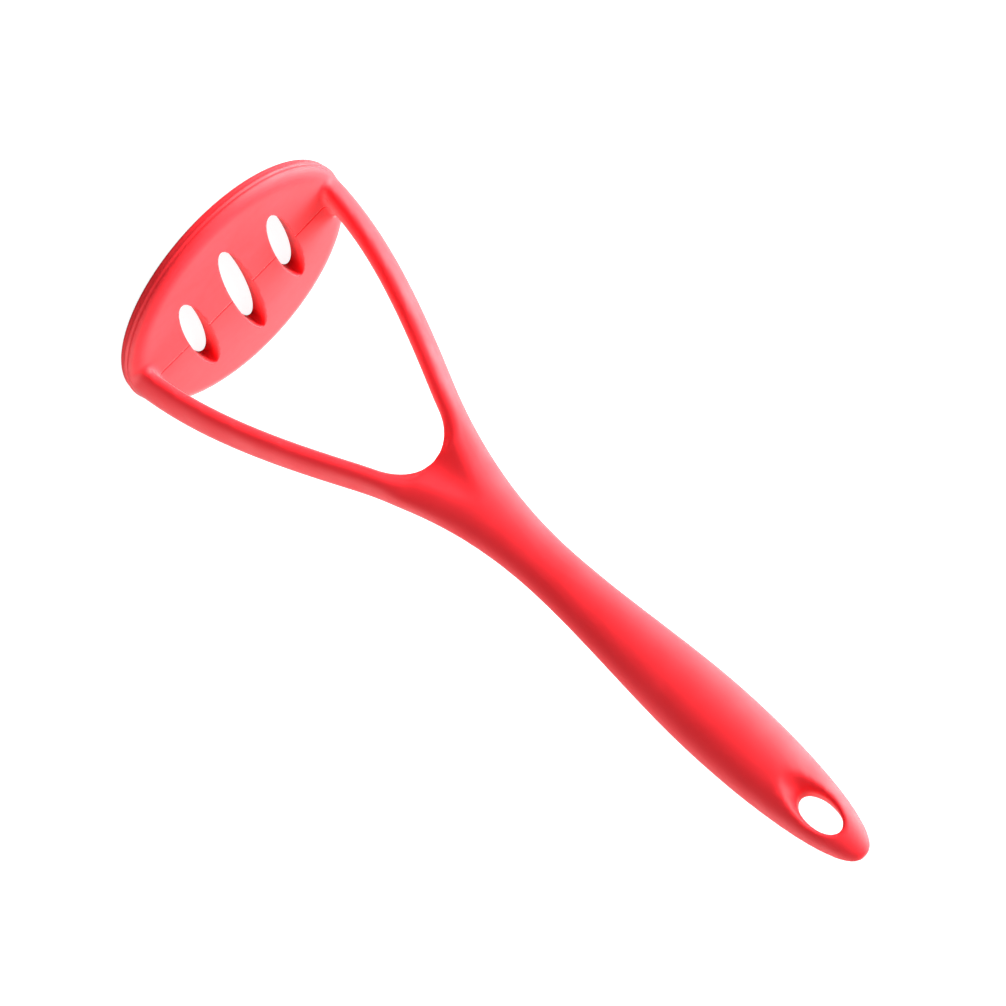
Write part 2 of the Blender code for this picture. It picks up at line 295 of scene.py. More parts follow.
def vertex_places(mesh: bpy.types.Mesh) -> np.ndarray:
    """Reads a mesh's vertices as rows of x, y and z."""
    places = np.empty(len(mesh.vertices) * 3, np.float32)
    mesh.vertices.foreach_get("co", places)
    return places.reshape(-1, 3).astype(float)


# ---- the shape


@dataclass(frozen=True)
class Layer:
    """One surface of the form: how far in it lies, in general and at the hanging hole, and how
    finely its round shapes are divided."""

    inset: float
    hole_inset: float
    plate: int
    slot: int
    sides: int
    ends: int
    arm: int
    arch: int
    handle: int
    tip: int


OUTSIDE = Layer(0.0, 0.0, plate=360, slot=120, sides=26, ends=9, arm=60, arch=26, handle=130, tip=44)
SPACE = Layer(0.0016, 0.0009, plate=50, slot=22, sides=5, ends=2, arm=8, arch=5, handle=16, tip=8)


@dataclass(frozen=True)
class Plate:
    """Oval mashing plate with a flat underside, a soft shoulder and a slightly domed top."""

    width: float = 0.0909
    depth: float = 0.1094
    edge_height: float = 0.0060
    dome: float = 0.0004
    rim_setback: float = 0.0002
    shoulder_reach: float = 0.0055
    shoulder_drop: float = 0.0028
    underside_radius: float = 0.0007
    edge_steps: int = 12
    dome_shares: tuple[float, ...] = (0.9, 0.75, 0.6, 0.45)

    def profile(self, layer: Layer) -> list[tuple[float, float]]:
        """Gives the edge's section as distances in from the outline and heights.

        Args:
            layer: The layer of the form.

        Returns:
            The section from the underside to the top.
        """
        if layer.inset > 0.0:
            side = layer.inset + self.rim_setback + self.shoulder_reach / 2
            return [(side, layer.inset), (side, self.edge_height - layer.inset)]
        quarter = quarter_turn(self.edge_steps)
        foot, setback = self.underside_radius, self.rim_setback
        underside = [(setback + foot * (1.0 - math.sin(a)), foot * (1.0 - math.cos(a))) for a in quarter]
        shoulder = [
            (
                setback + self.shoulder_reach * (1.0 - math.cos(a)),
                self.edge_height - self.shoulder_drop * (1.0 - math.sin(a)),
            )
            for a in quarter
        ]
        return underside + shoulder

    def build(self, name: str, layer: Layer) -> Solid:
        """Makes the plate without its slots.

        Args:
            name: Name for the object.
            layer: The layer of the form.

        Returns:
            The plate's solid.
        """
        profile = self.profile(layer)
        edge, top = profile[-1]
        for share in self.dome_shares:
            distance = self.width / 2 - share * (self.width / 2 - edge)
            profile.append((distance, top + self.dome * (1.0 - share**2)))
        half_width, half_depth = self.width / 2, self.depth / 2
        rings = [
            oval(Vector((0.0, 0.0, height)), half_width - distance, half_depth - distance, layer.plate)
            for distance, height in profile
        ]
        return loft(name, rings)


@dataclass(frozen=True)
class Slot:
    """Pointed-oval opening through the plate, with softly rounded edges."""

    name: str
    x: float
    width: float
    length: float
    edge_radius: float = 0.0006
    beyond: float = 4.0 * MM
    # The rounded edges: distance from the face and widening there, both in edge radii
    lower_edge: tuple[tuple[float, float], ...] = ((0.0, 0.6), (0.4, 0.15), (1.0, 0.0))
    upper_edge: tuple[tuple[float, float], ...] = ((1.0, 0.0), (0.5, 0.15), (0.0, 0.7))
    lower_flare: float = 2.0
    upper_flare: float = 4.0

    def cutter(self, plate: Plate, layer: Layer) -> Solid:
        """Makes the solid that cuts the slot.

        Args:
            plate: The plate it goes through.
            layer: The layer of the form.

        Returns:
            The cutter.
        """
        top, edge = plate.edge_height + plate.dome, self.edge_radius
        stations = [(-self.beyond, layer.inset), (top + self.beyond, layer.inset)]
        if layer.inset == 0.0:
            stations = [(-self.beyond, edge * self.lower_flare)]
            stations += [(edge * depth, edge * grow) for depth, grow in self.lower_edge]
            stations += [(top - edge * depth, edge * grow) for depth, grow in self.upper_edge]
            stations.append((top + self.beyond, edge * self.upper_flare))
        rings = [
            oval(Vector((self.x, 0.0, height)), self.width / 2 + grow, self.length / 2 + grow, layer.slot)
            for height, grow in stations
        ]
        return loft(f"cut_{self.name}", rings)


@dataclass(frozen=True)
class Stem:
    """Both arms of the fork, the web between them and the handle, as one closed surface."""

    plate: Plate = field(default_factory=Plate)
    overall_height: float = 0.270
    arm_thickness: float = 0.0076
    arm_foot_depth: float = 0.0250
    arm_top_depth: float = 0.0158
    arm_foot_inset: float = 0.0004
    arm_foot_lean: float = -0.09
    arm_fillet: float = 0.0018
    fillet_shares: tuple[float, ...] = (-0.1, 0.05, 0.15, 0.3, 0.5, 0.75, 1.0)
    sunk_foot_height: float = 2.6 * MM
    side_turn: float = 135.0
    bend_height: float = 0.0750
    bend_width: float = 0.0461
    bend_lean: float = -0.455
    crotch_height: float = 0.0897
    crotch_rise: float = 0.0110
    crotch_rounding: float = 0.0064
    fork_sag: float = 0.0028
    fork_depth: float = 0.0170
    fork_fullness: float = 0.45
    web_thickness: float = 0.0064
    groove_width: float = 0.0200
    groove_tip_width: float = 0.0040
    groove_rise: float = 0.0190
    groove_fade_power: float = 1.5
    waist_height: float = 0.1390
    waist_width: float = 0.0173
    waist_depth: float = 0.0144
    grip_width: float = 0.0250
    grip_depth: float = 0.0206
    grip_drop: float = 0.0590
    end_power: float = 0.42
    smallest_ring: float = 0.0008
    slope_step: float = 0.01 * MM
    search_step: float = 0.1 * MM

    @property
    def fork_height(self) -> float:
        """Height on the outer side at which the arms' surfaces join."""
        return self.crotch_height + self.fork_sag

    @property
    def grip_height(self) -> float:
        """Height at which the handle is widest."""
        return self.overall_height - self.grip_drop

    def end_share(self, height: float) -> float:
        """Gives the rounded end's size at a height, as a share of the grip's."""
        return max(0.0, 1.0 - ((height - self.grip_height) / self.grip_drop) ** 2) ** self.end_power

    def half_width(self, height: float) -> float:
        """Gives the form's half width.

        Args:
            height: Height on the outer side.

        Returns:
            Half the width there.
        """
        if height > self.grip_height:
            return self.grip_width / 2 * self.end_share(height)
        foot = self.plate.width / 2 - self.arm_foot_inset
        outline = (
            (self.plate.edge_height, foot, self.arm_foot_lean),
            (self.bend_height, self.bend_width / 2, self.bend_lean),
            (self.waist_height, self.waist_width / 2, 0.0),
            (self.grip_height, self.grip_width / 2, 0.0),
        )
        return follow(outline, height)

    def half_depth(self, height: float) -> float:
        """Gives the half depth along Y of an arm below the fork and of the handle above it.

        Args:
            height: Height on the outer side.

        Returns:
            Half the depth there.
        """
        if height > self.grip_height:
            return self.grip_depth / 2 * self.end_share(height)
        if height > self.fork_height:
            outline = (
                (self.fork_height, self.fork_depth / 2, 0.0),
                (self.waist_height, self.waist_depth / 2, 0.0),
                (self.grip_height, self.grip_depth / 2, 0.0),
            )
            return follow(outline, height)
        foot_height = self.plate.edge_height
        share = (height - foot_height) / (self.fork_height - foot_height)
        spread = (self.arm_foot_depth - self.arm_top_depth) * min(1.0, 1.0 - share) ** 2
        return (self.arm_top_depth + spread) / 2

    def crossing(self, height: float) -> tuple[Vector, Vector]:
        """Finds an arm's outer point at a height and the point straight across it.

        Args:
            height: Height on the outer side.

        Returns:
            The outer point and the inner point.
        """
        step = self.slope_step
        slope = (self.half_width(height + step) - self.half_width(height - step)) / (2 * step)
        outer = Vector((self.half_width(height), 0.0, height))
        return outer, outer + Vector((-1.0, 0.0, slope)).normalized() * self.arm_thickness

    def arch_start(self) -> float:
        """Finds the height from which an arm's inner side rounds into the crotch."""
        height = self.fork_height
        while self.crossing(height)[1].z > self.crotch_height - self.crotch_rise:
            height -= self.search_step
        return height

    def arch_point(self, start: float, share: float) -> Vector:
        """Reads the curve from an arm's inner side to the top of the crotch.

        Args:
            start: Height at which the curve leaves the arm.
            share: How far along it, from 0 to 1.

        Returns:
            The point there.
        """
        outer, inner = self.crossing(start)
        upward = Vector((inner.z - outer.z, 0.0, outer.x - inner.x)).normalized()
        corners = (
            inner,
            inner + upward * self.crotch_rounding,
            Vector((self.crotch_rounding, 0.0, self.crotch_height)),
            Vector((0.0, 0.0, self.crotch_height)),
        )
        rest = 1.0 - share
        weights = (rest**3, 3 * rest**2 * share, 3 * rest * share**2, share**3)
        return sum((corner * weight for corner, weight in zip(corners, weights)), Vector())

    def flare(self, height: float) -> float:
        """Gives how far the fillet at an arm's foot spreads onto the plate at a height."""
        rise = max(0.0, min(self.arm_fillet, height - self.plate.edge_height))
        return self.arm_fillet - math.sqrt(self.arm_fillet**2 - (self.arm_fillet - rise) ** 2)

    def grooved(self, half_depth: float, side: float, x: float, rise: float) -> float:
        """Takes the groove on each face of the fork off the half depth.

        Args:
            half_depth: Half depth without the groove.
            side: Height of the section's curve here, from 0 to 1.
            x: Distance from the middle.
            rise: Height above the top of the fork.

        Returns:
            The half depth with the groove.
        """
        left = max(0.0, 1.0 - rise / self.groove_rise)
        reach = self.groove_tip_width / 2 + (self.groove_width - self.groove_tip_width) / 2 * left
        floor = (1.0 - self.web_thickness / self.fork_depth) * left**self.groove_fade_power
        across = max(0.0, 1.0 - (x / reach) ** 2) ** 2
        return half_depth * side ** (1.0 - self.fork_fullness * left) * (1.0 - floor * across)

    def arm_ring(self, outer: Vector, inner: Vector, merge: float, layer: Layer) -> Ring:
        """Lays one ring of the right arm.

        Args:
            outer: The ring's outermost point.
            inner: Its innermost point.
            merge: How far the oval has turned into half of the fork's grooved section.
            layer: The layer of the form.

        Returns:
            The ring's points.
        """
        half_width, half_depth = self.half_width(outer.z), self.half_depth(outer.z)
        inset = layer.inset
        inward = (inner - outer).normalized() * inset
        start = outer + inward
        end = inner - inward if merge < 1.0 else inner + Vector((0.0, 0.0, inset))
        flare = self.flare(outer.z) if inset == 0.0 else 0.0
        ring = []
        for i in range(layer.sides + layer.ends + 1):
            if i <= layer.sides:
                turn = math.radians(self.side_turn * i / layer.sides)
                quarter = math.radians(90 * i / layer.sides)
                across, side = 1.0 - math.cos(quarter), math.sin(quarter)
                depth = self.grooved(self.fork_depth / 2, side, half_width * math.cos(quarter), 0.0)
                depth -= inset * side
            else:
                step = (i - layer.sides) / layer.ends
                turn = math.radians(self.side_turn + (180 - self.side_turn) * step)
                across = 1.0
                depth = (self.web_thickness / 2 - inset) * math.cos(math.radians(90 * step))
            across += ((1.0 - math.cos(turn)) / 2 - across) * (1.0 - merge)
            depth += ((half_depth + flare - inset) * math.sin(turn) - depth) * (1.0 - merge)
            point = start.lerp(end, across) + Vector((-flare * across, depth, 0.0))
            bow = 1.0 - math.sqrt(1.0 - (2 * depth / self.plate.depth) ** 2)
            point.x -= (1.0 - merge) * self.plate.width / 2 * bow
            ring.append(point)
        return ring + [Vector((p.x, -p.y, p.z)) for p in ring[-2:0:-1]]

    def arm_rings(self, layer: Layer) -> list[Ring]:
        """Lays the right arm's rings, from inside the plate to the crotch.

        Args:
            layer: The layer of the form.

        Returns:
            The rings in order.
        """
        plate, rings = self.plate, []
        foot = plate.edge_height + plate.dome / 2
        start = self.arch_start()
        heights = [layer.inset + self.smallest_ring]
        if layer.inset == 0.0:
            heights = [self.sunk_foot_height]
            heights += [foot + self.arm_fillet * share for share in self.fillet_shares]
        above = plate.edge_height + 2 * self.arm_fillet
        heights += [above + (start - above) * i / layer.arm for i in range(layer.arm)]
        for height in heights:
            outer, inner = self.crossing(height)
            if height < above:
                inner.z = height
            rings.append(self.arm_ring(outer, inner, 0.0, layer))
        for i in range(layer.arch + 1):
            share = i / layer.arch
            height = start + (self.fork_height - start) * share
            outer = Vector((self.half_width(height), 0.0, height))
            merge = follow(((0.0, 0.0, 0.0), (1.0, 1.0, 0.0)), share)
            rings.append(self.arm_ring(outer, self.arch_point(start, share), merge, layer))
        return rings

    def handle_ring(self, height: float, layer: Layer) -> Ring:
        """Lays the right half of the handle's ring, from the outer side round to the middle.

        Args:
            height: Height on the outer side.
            layer: The layer of the form.

        Returns:
            The points of that half.
        """
        half_width, half_depth = self.half_width(height), self.half_depth(height)
        rise, inset = height - self.fork_height, layer.inset
        sag = (self.fork_sag - inset) * max(0.0, 1.0 - rise / self.groove_rise)
        half = []
        for angle in quarter_turn(layer.sides):
            side, across = math.sin(angle), math.cos(angle)
            depth = self.grooved(half_depth, side, half_width * across, rise) - inset * side
            half.append(Vector(((half_width - inset) * across, depth, height - sag * (1.0 - across))))
        return half

    def handle_heights(self, layer: Layer) -> list[float]:
        """Spaces the handle's rings, closer together near the rounded end.

        Args:
            layer: The layer of the form.

        Returns:
            The rings' heights.
        """
        span = self.grip_height - self.fork_height
        straight = [self.fork_height + span * i / layer.handle for i in range(1, layer.handle)]
        angles = quarter_turn(layer.tip)[:-1]
        rounded = [self.grip_height + (self.grip_drop - layer.inset) * math.sin(a) for a in angles]
        return straight + [z for z in rounded if self.half_depth(z) - layer.inset > self.smallest_ring]

    def build(self, name: str, layer: Layer) -> Solid:
        """Makes the stem as one closed surface: two arms that join, then the handle.

        Args:
            name: Name for the object.
            layer: The layer of the form.

        Returns:
            The stem's solid.
        """
        mesh = bmesh.new()
        sides, tail = layer.sides, layer.sides + 2 * layer.ends
        right_rings = self.arm_rings(layer)
        saddle: list[Any] = []
        tops = []
        for mirrored in (False, True):
            rings = right_rings
            if mirrored:
                rings = [[Vector((-p.x, p.y, p.z)) for p in ring] for ring in right_rings]
            stack = [[mesh.verts.new(point) for point in ring] for ring in rings[:-1]]
            top = [mesh.verts.new(point) for point in rings[-1]]
            if mirrored:
                for offset, vertex in enumerate(saddle):
                    mesh.verts.remove(top[sides + offset])
                    top[sides + offset] = vertex
            else:
                saddle = top[sides : tail + 1]
            for lower, upper in zip(stack, stack[1:] + [top]):
                add_band(mesh, lower, upper)
            mesh.faces.new(stack[0])
            tops.append(top)
        right, left = tops
        below = right[: sides + 1] + left[sides - 1 : 0 : -1] + left[:1] + left[:tail:-1] + right[tail:]
        for height in self.handle_heights(layer):
            half = self.handle_ring(height, layer)
            back = half + [Vector((-p.x, p.y, p.z)) for p in half[-2::-1]]
            front = [Vector((p.x, -p.y, p.z)) for p in back[-2:0:-1]]
            above = [mesh.verts.new(point) for point in back + front]
            add_band(mesh, below, above)
            below = above
        tip = mesh.verts.new((0.0, 0.0, self.overall_height - layer.inset))
        for i in range(len(below)):
            mesh.faces.new((below[i], below[(i + 1) % len(below)], tip))
        return solid_from(name, mesh)


@dataclass(frozen=True)
class HangHole:
    """Hole through the handle's end, dished on both faces and drawn out to a point below."""

    width: float = 0.0093
    length: float = 0.0168
    drop: float = 0.0182
    throat: float = 0.0036
    mouth: float = 0.0082
    spread: float = 0.0030
    point: float = 0.0052
    taper: float = 0.12
    spread_power: float = 2.0
    point_power: float = 1.4
    straight_share: float = 0.8
    beyond: float = 1.0 * MM
    steps: int = 14

    def ring(self, stem: Stem, y: float, layer: Layer) -> Ring:
        """Lays the hole's outline at a distance from the middle plane.

        Args:
            stem: The stem it goes through.
            y: Distance along Y.
            layer: The layer of the form.

        Returns:
            The outline.
        """
        middle, inset = stem.overall_height - self.drop, layer.hole_inset
        opened = max(0.0, (abs(y) + inset - self.throat) / (self.mouth - self.throat))
        soft = self.spread * opened**self.spread_power
        ring = []
        for i in range(layer.slot):
            turn = math.tau * i / layer.slot
            x = (self.width / 2 + inset + soft) * math.cos(turn)
            rise = math.sin(turn)
            if rise >= 0.0:
                z = (self.length / 2 + inset + soft) * rise
            else:
                z = (self.length / 2 + inset) * rise - self.point * opened**self.point_power * rise**2
                x *= 1.0 - self.taper * min(1.0, opened) * rise**2
            ring.append(Vector((x, y, middle + z)))
        return ring

    def cutter(self, stem: Stem, layer: Layer) -> Solid:
        """Makes the solid that cuts the hole.

        Args:
            stem: The stem it goes through.
            layer: The layer of the form.

        Returns:
            The cutter.
        """
        innermost, outermost = self.throat * self.straight_share, stem.grip_depth / 2 + self.beyond
        reach = outermost - innermost
        half = [innermost + reach * i / self.steps for i in range(self.steps + 1)]
        stations = [-y for y in reversed(half)] + [0.0] + half
        return loft("cut_hang_hole", [self.ring(stem, y, layer) for y in stations])


# ---- finishes


class Surface:
    """A node material under construction, laid out in the object's own coordinates."""

    def __init__(self, name: str) -> None:
        """Makes the material of that name, with its shader."""
        self.material = bpy.data.materials.new(name)
        self.material.use_nodes = True
        self.tree = self.material.node_tree
        self.shader = self.tree.nodes["Principled BSDF"]
        self.place = add_node(self.tree, "ShaderNodeTexCoord").outputs["Object"]

    def noise(self, size_mm: float, detail: float) -> Socket:
        """Adds soft noise.

        Args:
            size_mm: Size of its patches in millimetres.
            detail: How many finer layers it has.

        Returns:
            The noise.
        """
        settings = {"Scale": 1.0 / (size_mm * MM), "Detail": detail}
        return add_node(self.tree, "ShaderNodeTexNoise", settings, {"Vector": self.place}).outputs["Fac"]

    def tint(self, pattern: Socket, colours: dict[float, str]) -> None:
        """Colours the surface by a pattern.

        Args:
            pattern: The pattern.
            colours: Two hex colours, by the pattern's value where each is reached.
        """
        ramp = add_node(self.tree, "ShaderNodeValToRGB", links={"Fac": pattern})
        for stop, (value, hex_text) in zip(ramp.color_ramp.elements, colours.items()):
            stop.position, stop.color = value, linear_colour(hex_text)
        self.feed("Base Color", ramp.outputs["Color"])

    def relief(self, pattern: Socket, strength: float, depth_mm: float) -> None:
        """Gives the surface a fine relief.

        Args:
            pattern: The relief's height, from 0 to 1.
            strength: How much of it shows.
            depth_mm: Its depth in millimetres.
        """
        settings = {"Strength": strength, "Distance": depth_mm * MM}
        bump = add_node(self.tree, "ShaderNodeBump", settings, {"Height": pattern})
        self.feed("Normal", bump.outputs["Normal"])

    def feed(self, name: str, source: Socket) -> None:
        """Links a pattern to the shader's input of that name."""
        self.tree.links.new(source, self.shader.inputs[name])

    def set_inputs(self, settings: dict[str, Any]) -> None:
        """Gives the shader's inputs plain values by name."""
        for name, value in settings.items():
            self.shader.inputs[name].default_value = value


@dataclass(frozen=True)
class MouldedSilicone:
    """Compression-moulded silicone rubber: an even, saturated colour under a soft, dusty sheen.

    The steel mould is bead blasted, which leaves the skin matte with a fine grain. Silicone's
    refractive index is 1.41, and light goes a little way into it before it comes back.
    """

    name: str = "moulded silicone"
    deep_hex: str = "#E61824"
    pale_hex: str = "#EC1F2B"
    deep_below: float = 0.35
    pale_above: float = 0.65
    patch_mm: float = 22.0
    patch_detail: float = 2.0
    # Blasted grain is about 0.1 mm, too fine to show, so it is drawn at 0.45 mm.
    grain_mm: float = 0.45
    grain_detail: float = 2.0
    grain_depth_mm: float = 0.010
    grain_strength: float = 0.5
    # Handling leaves patches that are a little smoother than the rest.
    handling_mm: float = 9.0
    handling_detail: float = 3.0
    smooth_below: float = 0.3
    rough_above: float = 0.7
    smoothest: float = 0.60
    roughest: float = 0.70
    refractive_index: float = 1.41
    scatter: float = 0.15
    scatter_radius: tuple[float, float, float] = (1.0, 0.15, 0.10)
    scatter_mm: float = 0.8
    sheen: float = 0.5
    sheen_roughness: float = 0.25

    def make(self) -> bpy.types.Material:
        """Builds the node material."""
        surface = Surface(self.name)
        patches = surface.noise(self.patch_mm, self.patch_detail)
        surface.tint(patches, {self.deep_below: self.deep_hex, self.pale_above: self.pale_hex})
        names = ("From Min", "From Max", "To Min", "To Max")
        values = (self.smooth_below, self.rough_above, self.smoothest, self.roughest)
        handling = {"Value": surface.noise(self.handling_mm, self.handling_detail)}
        roughness = add_node(surface.tree, "ShaderNodeMapRange", dict(zip(names, values)), handling)
        surface.feed("Roughness", roughness.outputs["Result"])
        grain = surface.noise(self.grain_mm, self.grain_detail)
        surface.relief(grain, self.grain_strength, self.grain_depth_mm)
        surface.set_inputs(
            {
                "IOR": self.refractive_index,
                "Subsurface Weight": self.scatter,
                "Subsurface Radius": self.scatter_radius,
                "Subsurface Scale": self.scatter_mm * MM,
                "Sheen Weight": self.sheen,
                "Sheen Roughness": self.sheen_roughness,
            }
        )
        return surface.material


@dataclass(frozen=True)
class GlassFilledNylon:
    """Injection-moulded nylon with chopped glass: charcoal, matte, with faint paler flow marks."""

    name: str = "glass-filled nylon"
    dark_hex: str = "#26272A"
    pale_hex: str = "#36383B"
    dark_below: float = 0.4
    pale_above: float = 0.7
    # Glass fibres are 0.3 mm long and thinner than a hair, so they are drawn 0.6 mm long.
    fibre_mm: float = 0.6
    fibre_detail: float = 3.0
    fibre_stretch: tuple[float, float, float] = (1.0, 0.35, 1.0)
    relief_depth_mm: float = 0.02
    relief_strength: float = 0.4
    roughness: float = 0.58
    refractive_index: float = 1.53

    def make(self) -> bpy.types.Material:
        """Builds the node material."""
        surface = Surface(self.name)
        stretch = add_node(
            surface.tree, "ShaderNodeMapping", {"Scale": self.fibre_stretch}, {"Vector": surface.place}
        )
        surface.place = stretch.outputs["Vector"]
        fibres = surface.noise(self.fibre_mm, self.fibre_detail)
        surface.tint(fibres, {self.dark_below: self.dark_hex, self.pale_above: self.pale_hex})
        surface.relief(fibres, self.relief_strength, self.relief_depth_mm)
        surface.set_inputs({"Roughness": self.roughness, "IOR": self.refractive_index})
        return surface.material


@dataclass(frozen=True)
class StudioPaper:
    """Matte white background paper for the floor."""

    name: str = "white background paper"
    seen_hex: str = "#F4F4F4"
    lit_hex: str = "#8C8C8C"
    seen_share: float = 0.35
    glow: float = 0.88

    def make(self) -> bpy.types.Material:
        """Builds the node material: near white to the camera, greyer in the light it throws back."""
        material = bpy.data.materials.new(self.name)
        material.use_nodes = True
        tree = material.node_tree
        tree.nodes.clear()
        seen_colour = Vector(linear_colour(self.seen_hex)[:3]) * self.seen_share
        seen = add_node(tree, "ShaderNodeBsdfDiffuse", {"Color": (*seen_colour, 1.0)})
        glow = add_node(tree, "ShaderNodeEmission", {"Strength": self.glow})
        both = add_node(tree, "ShaderNodeAddShader")
        tree.links.new(seen.outputs["BSDF"], both.inputs[0])
        tree.links.new(glow.outputs["Emission"], both.inputs[1])
        lit = add_node(tree, "ShaderNodeBsdfDiffuse", {"Color": linear_colour(self.lit_hex)})
        path = add_node(tree, "ShaderNodeLightPath")
        choose = add_node(tree, "ShaderNodeMixShader", links={"Fac": path.outputs["Is Camera Ray"]})
        tree.links.new(lit.outputs["BSDF"], choose.inputs[1])
        tree.links.new(both.outputs["Shader"], choose.inputs[2])
        add_node(tree, "ShaderNodeOutputMaterial", links={"Surface": choose.outputs["Shader"]})
        return material


# ---- sub-assemblies


@dataclass(frozen=True)
class PartingLines:
    """Fine lines that the mould leaves: a ridge and a groove round the rim, a seam across the top."""

    plate: Plate = field(default_factory=Plate)
    ridge_height: float = 0.0022
    ridge_proud: float = 0.00030
    groove_height: float = 0.0030
    groove_deep: float = 0.00022
    seam_deep: float = 0.00036
    half_width: float = 0.00030
    cuts: int = 2
    # The band round the rim that is divided finely, and where in it the lines fade out
    band_height: float = 0.9 * MM
    band_depth: float = 1.8 * MM
    rim_fade: tuple[float, float] = (1.0 * MM, 1.6 * MM)
    # The strip along the seam: its half width, its height, and how far from the rim it ends
    strip_half_width: float = 1.4 * MM
    strip_height: float = 2.2 * MM
    strip_end: float = 2.0 * MM
    end_fade: float = 1.0 * MM
    fade_below: tuple[float, float] = (1.2 * MM, 0.5 * MM)
    fade_above: tuple[float, float] = (1.6 * MM, 0.8 * MM)
    # The low part of the rim that is set back onto the exact section
    low_depth: float = 4.0 * MM
    low_height: float = 4.2 * MM
    full_below: float = 3.5 * MM
    section_start: float = 8.0 * MM
    section_step: float = 0.04 * MM
    rounds: int = 6

    def rim_depth(self, places: np.ndarray) -> np.ndarray:
        """Gives roughly how far in from the plate's outline each point is, in metres."""
        across = places[:, 0] / (self.plate.width / 2)
        along = places[:, 1] / (self.plate.depth / 2)
        return (1.0 - np.hypot(across, along)) * self.plate.width / 2

    def true_rim(self, places: np.ndarray) -> None:
        """Moves points low on the rim onto the plate's exact section, which the fusing has rounded.

        Args:
            places: The skin's vertices as rows, changed in place.
        """
        half_width, half_depth = self.plate.width / 2, self.plate.depth / 2
        depths = self.rim_depth(places)
        low = np.nonzero((depths < self.low_depth) & (places[:, 2] < self.low_height))[0]
        x, y, z = places[low].T
        inward = depths[low]
        for _ in range(self.rounds):
            inward -= (np.hypot(x / (half_width - inward), y / (half_depth - inward)) - 1.0) * half_width
        corners = np.array([(self.section_start, 0.0)] + self.plate.profile(OUTSIDE))
        lengths = np.concatenate([[0.0], np.cumsum(np.hypot(*np.diff(corners, axis=0).T))])
        steps = np.arange(0.0, lengths[-1], self.section_step)
        section = np.stack([np.interp(steps, lengths, corners[:, k]) for k in (0, 1)], axis=1)
        gaps = (inward[:, None] - section[:, 0]) ** 2 + (z[:, None] - section[:, 1]) ** 2
        true_inward, true_height = section[gaps.argmin(axis=1)].T
        exact_x = x * (half_width - true_inward) / (half_width - inward)
        exact_y = y * (half_depth - true_inward) / (half_depth - inward)
        exact = np.stack([exact_x, exact_y, true_height], axis=1)
        places[low] += (exact - places[low]) * fade(-z, -self.low_height, -self.full_below)[:, None]

    def draw(self, skin: Solid) -> None:
        """Raises the ridge, and sinks the groove and the seam.

        Args:
            skin: The skin, whose mesh is changed.
        """
        top, high = self.plate.edge_height, self.groove_height + self.band_height
        reach = self.plate.width / 2 - self.strip_end
        refine(skin, lambda p: (self.rim_depth(p) < self.band_depth) & (p[:, 2] < high), self.cuts)
        refine(
            skin,
            lambda p: (np.abs(p[:, 1]) < self.strip_half_width)
            & (np.abs(p[:, 2] - top) < self.strip_height)
            & (np.abs(p[:, 0]) < reach),
            self.cuts,
        )
        places = vertex_places(skin.data)
        self.true_rim(places)
        full, none = self.rim_fade
        on_rim = fade(-self.rim_depth(places), -none, -full)
        ridge = self.ridge_proud * bell(places[:, 2] - self.ridge_height, self.half_width)
        groove = self.groove_deep * bell(places[:, 2] - self.groove_height, self.half_width)
        outward = places[:, :2] / np.array([(self.plate.width / 2) ** 2, (self.plate.depth / 2) ** 2])
        outward /= np.linalg.norm(outward, axis=1, keepdims=True) + TINY
        places[:, :2] += outward * ((ridge - groove) * on_rim)[:, None]
        none, full = self.fade_below
        on_top = fade(places[:, 2], top - none, top - full)
        none, full = self.fade_above
        on_top *= fade(-places[:, 2], -(top + none), -(top + full))
        on_top *= fade(-np.abs(places[:, 0]), -reach, -(reach - self.end_fade))
        places[:, 2] -= self.seam_deep * bell(places[:, 1], self.half_width) * on_top
        skin.data.vertices.foreach_set("co", places.astype(np.float32).ravel())
        skin.data.update()


